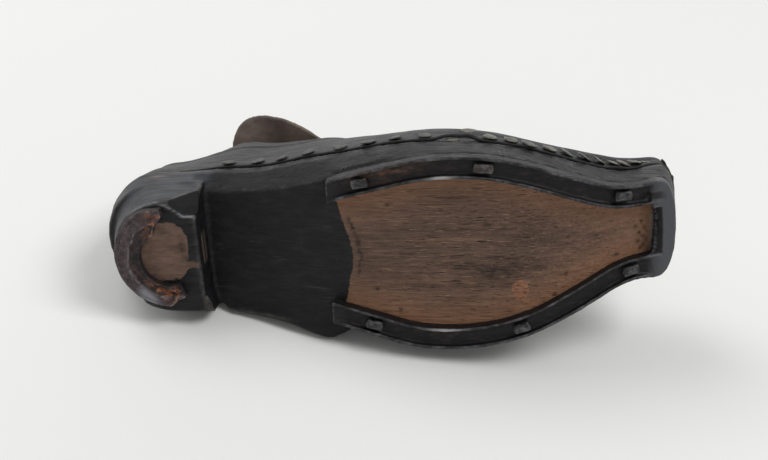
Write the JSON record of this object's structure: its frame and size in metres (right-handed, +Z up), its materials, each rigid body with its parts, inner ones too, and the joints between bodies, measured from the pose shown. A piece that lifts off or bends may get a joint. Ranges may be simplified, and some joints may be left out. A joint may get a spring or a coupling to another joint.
{
  "type": "clog",
  "caption": "Left wooden-soled clog lying on its outer side, with a black leather upper nailed round the sole, a grooved forepart iron and a horseshoe heel iron.",
  "frame": {"origin": "centre of the bounding box on the floor that the clog lies on", "axes": "+X from heel to toe along the floor, +Z up from the floor, and the sole faces -Y and about 10 degrees up"},
  "size_m": [0.2584, 0.1206, 0.0975],
  "materials": {
    "stained_wood": "satin",
    "upper_leather": "satin",
    "tongue_leather": "matte",
    "insole_leather": "matte",
    "tacked_welt": "satin",
    "forepart_iron": "worn",
    "heel_iron": "rusty",
    "nails": "worn"
  },
  "bodies": {
    "root": {"wooden_sole": "stained_wood", "upper": "upper_leather", "tongue": "tongue_leather", "insole": "insole_leather", "welt_and_tacks": "tacked_welt", "forepart_iron": "forepart_iron", "heel_iron": "heel_iron", "nail_medial_back": "nails", "nail_medial_middle": "nails", "nail_medial_toe": "nails", "nail_lateral_toe": "nails", "nail_lateral_middle": "nails", "nail_lateral_back": "nails"}
  },
  "joints": []
}
